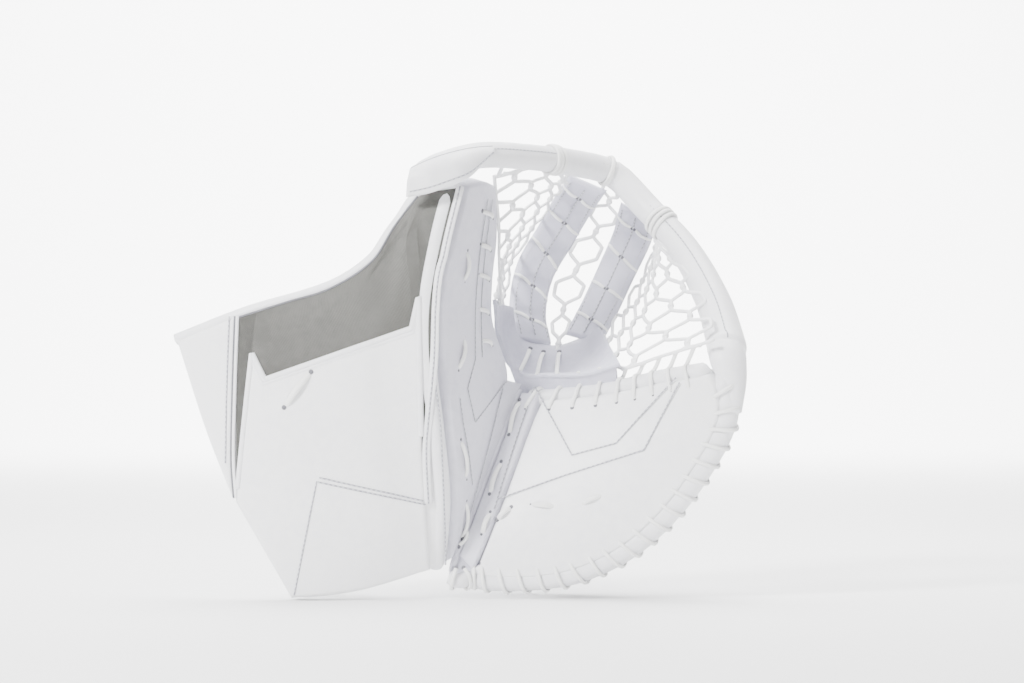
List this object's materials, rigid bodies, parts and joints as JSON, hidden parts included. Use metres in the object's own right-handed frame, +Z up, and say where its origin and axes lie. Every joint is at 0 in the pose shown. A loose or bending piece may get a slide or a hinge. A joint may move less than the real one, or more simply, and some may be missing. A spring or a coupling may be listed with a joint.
{
  "type": "goalie catch glove",
  "caption": "White ice hockey goalie catch glove opened like a book: stiff cuff and thumb board, hinged finger palm, laced web pocket, hand pad and wrist strap.",
  "frame": {"origin": "on the resting surface, under the middle of the glove's box", "axes": "+X from the cuff to the finger edge, +Y from the open mouth to the back of the pocket, +Z up"},
  "size_m": [0.4086, 0.2024, 0.3264],
  "materials": {
    "white_leather": "satin",
    "palm_leather": "satin",
    "edge_leather": "satin",
    "pocket_leather": "satin",
    "accent_panel": "satin",
    "lace": "matte",
    "skate_lace_net": "matte",
    "foam": "matte",
    "felt": "matte",
    "stiffener": "matte",
    "liner_fabric": "matte",
    "touch_tape": "matte",
    "strap_webbing": "satin"
  },
  "bodies": {
    "thumb_side": {"cuff_wing_panel": "white_leather", "cuff_accent_panel": "accent_panel", "cuff_lower_panel": "white_leather", "cuff_foam": "foam", "cuff_plate": "stiffener", "cuff_liner": "liner_fabric", "cuff_edge_roll": "edge_leather", "cuff_tie_lace": "lace", "thumb_palm_leather": "palm_leather", "thumb_palm_felt": "felt", "thumb_palm_plate": "stiffener", "thumb_palm_laces": "lace", "thumb_edge_lace": "lace", "thumb_stall": "liner_fabric", "thumb_bead": "edge_leather", "thumb_cap": "white_leather", "thumb_net": "skate_lace_net", "strap_landing": "white_leather", "strap_loop_tape": "touch_tape"},
    "pocket": {"pocket_cup": "pocket_leather", "web_band_thumb_side": "pocket_leather", "web_band_finger_side": "pocket_leather", "middle_net": "skate_lace_net", "pocket_top_roll": "edge_leather", "fold_welt": "palm_leather"},
    "finger_side": {"fold_strip": "palm_leather", "finger_palm_leather": "white_leather", "finger_palm_felt": "felt", "finger_palm_plate": "stiffener", "perimeter_roll": "edge_leather", "pocket_edge_roll": "edge_leather", "perimeter_lace": "lace", "pocket_edge_lace": "lace", "finger_palm_laces": "lace", "fold_laces": "lace", "finger_bead": "edge_leather", "finger_net": "skate_lace_net", "hand_back_liner": "liner_fabric", "hand_back_foam": "foam", "hand_back_shell": "white_leather", "index_finger_stall": "liner_fabric", "little_finger_stall": "liner_fabric"},
    "wrist_strap": {"strap_band": "strap_webbing", "strap_pad": "liner_fabric", "strap_hook_tape": "touch_tape"}
  },
  "joints": [
    {"name": "pocket_fold", "type": "hinge", "parent": "thumb_side", "child": "pocket", "pos_m": [-0.00612, -0.064, 0.01956], "axis": [-0.3458, -0.3027, -0.8881], "range_deg": [-4, 25], "deforming": ["thumb_net", "pocket_cup"]},
    {"name": "finger_fold", "type": "hinge", "parent": "pocket", "child": "finger_side", "pos_m": [-0.00612, -0.064, 0.01956], "axis": [-0.3458, -0.3027, -0.8881], "range_deg": [-4, 25], "deforming": ["finger_net", "pocket_cup"]},
    {"name": "strap_open", "type": "hinge", "parent": "thumb_side", "child": "wrist_strap", "pos_m": [-0.08498, -0.05969, 0.02895], "axis": [-0.9343, -0.0516, -0.3527], "range_deg": [0, 75]}
  ],
  "couplings": [
    {"joint": "finger_fold", "follows": "pocket_fold", "ratio": 1}
  ]
}
